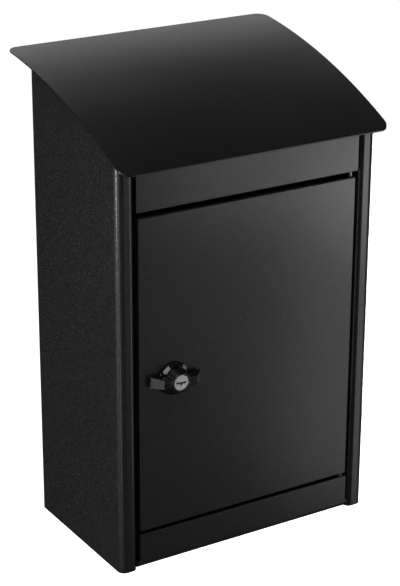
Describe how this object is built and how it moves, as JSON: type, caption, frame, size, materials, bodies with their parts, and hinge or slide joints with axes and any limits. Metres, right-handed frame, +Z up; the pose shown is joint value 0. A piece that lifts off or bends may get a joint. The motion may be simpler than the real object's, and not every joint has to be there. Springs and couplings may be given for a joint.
{
  "type": "wall mounted mailbox",
  "caption": "Tall black sheet-metal letter box for a wall, with a curved lift-up lid over a front access door that closes with a winged cam lock.",
  "frame": {"origin": "centre of the rear face of the wall bracket, where it touches the wall", "axes": "+X to the right as seen from in front, +Y into the wall, +Z up"},
  "size_m": [0.34, 0.269, 0.55],
  "materials": {
    "textured_powder_coat": "fine-textured black powder coat with tiny bright flecks",
    "satin_powder_coat": "smoother satin black powder coat on the lid",
    "lock_black": "smooth black die-cast lock parts",
    "brushed_plug_face": "bright steel, lightly brushed",
    "zinc_plate": "zinc-plated steel",
    "black_rubber": "matt black rubber",
    "natural_nylon": "off-white nylon",
    "pale_mark": "pale grey inlay"
  },
  "bodies": {
    "casing": {"left_side_panel": "textured_powder_coat", "right_side_panel": "textured_powder_coat", "back_panel": "textured_powder_coat", "base_tray": "textured_powder_coat", "header_panel": "textured_powder_coat", "letter_guard": "textured_powder_coat", "wall_bracket": "textured_powder_coat", "strike_plate": "zinc_plate", "back_rivet_left_low": "textured_powder_coat", "back_rivet_left_middle": "textured_powder_coat", "back_rivet_left_high": "textured_powder_coat", "base_rivet_left_front": "textured_powder_coat", "base_rivet_left_rear": "textured_powder_coat", "mount_bolt_left_low": "zinc_plate", "mount_nut_left_low": "zinc_plate", "mount_bolt_left_high": "zinc_plate", "mount_nut_left_high": "zinc_plate", "rod_bracket_left": "zinc_plate", "rod_bracket_rivet_left": "zinc_plate", "rod_clip_left": "zinc_plate", "lid_bumper_left": "black_rubber", "back_rivet_right_low": "textured_powder_coat", "back_rivet_right_middle": "textured_powder_coat", "back_rivet_right_high": "textured_powder_coat", "base_rivet_right_front": "textured_powder_coat", "base_rivet_right_rear": "textured_powder_coat", "mount_bolt_right_low": "zinc_plate", "mount_nut_right_low": "zinc_plate", "mount_bolt_right_high": "zinc_plate", "mount_nut_right_high": "zinc_plate", "rod_bracket_right": "zinc_plate", "rod_bracket_rivet_right": "zinc_plate", "rod_clip_right": "zinc_plate", "lid_bumper_right": "black_rubber", "hinge_rod": "zinc_plate", "strike_rivet_low": "zinc_plate", "strike_rivet_high": "zinc_plate", "door_bumper_low": "black_rubber", "door_bumper_high": "black_rubber", "hinge_bush_top": "natural_nylon", "hinge_bush_bottom": "natural_nylon"},
    "lid": {"lid_panel": "satin_powder_coat", "lid_ear_left": "satin_powder_coat", "lid_ear_right": "satin_powder_coat"},
    "door": {"door_panel": "textured_powder_coat", "hinge_pin_top": "zinc_plate", "hinge_pin_bottom": "zinc_plate", "lock_gasket": "black_rubber", "lock_rosette": "lock_black", "lock_mark_left": "pale_mark", "lock_mark_right": "pale_mark", "lock_body": "zinc_plate", "lock_nut": "zinc_plate"},
    "handle": {"wing_handle": "lock_black", "cam": "zinc_plate", "cam_washer": "zinc_plate", "cam_screw": "zinc_plate"},
    "plug": {"lock_plug": "brushed_plug_face", "plug_core": "zinc_plate"}
  },
  "joints": [
    {"name": "lid_hinge", "type": "hinge", "parent": "casing", "child": "lid", "pos_m": [0, -0.068, 0.263], "axis": [-1, 0, 0], "range_deg": [0, 80]},
    {"name": "door_hinge", "type": "hinge", "parent": "casing", "child": "door", "pos_m": [0.1349, -0.244, -0.03], "axis": [0, 0, 1], "range_deg": [0, 110]},
    {"name": "handle_turn", "type": "hinge", "parent": "door", "child": "handle", "pos_m": [-0.097, -0.256, -0.0354], "axis": [0, 1, 0], "range_deg": [0, 90]},
    {"name": "key_turn", "type": "hinge", "parent": "handle", "child": "plug", "pos_m": [-0.097, -0.259, -0.0354], "axis": [0, 1, 0], "range_deg": [0, 90]}
  ]
}
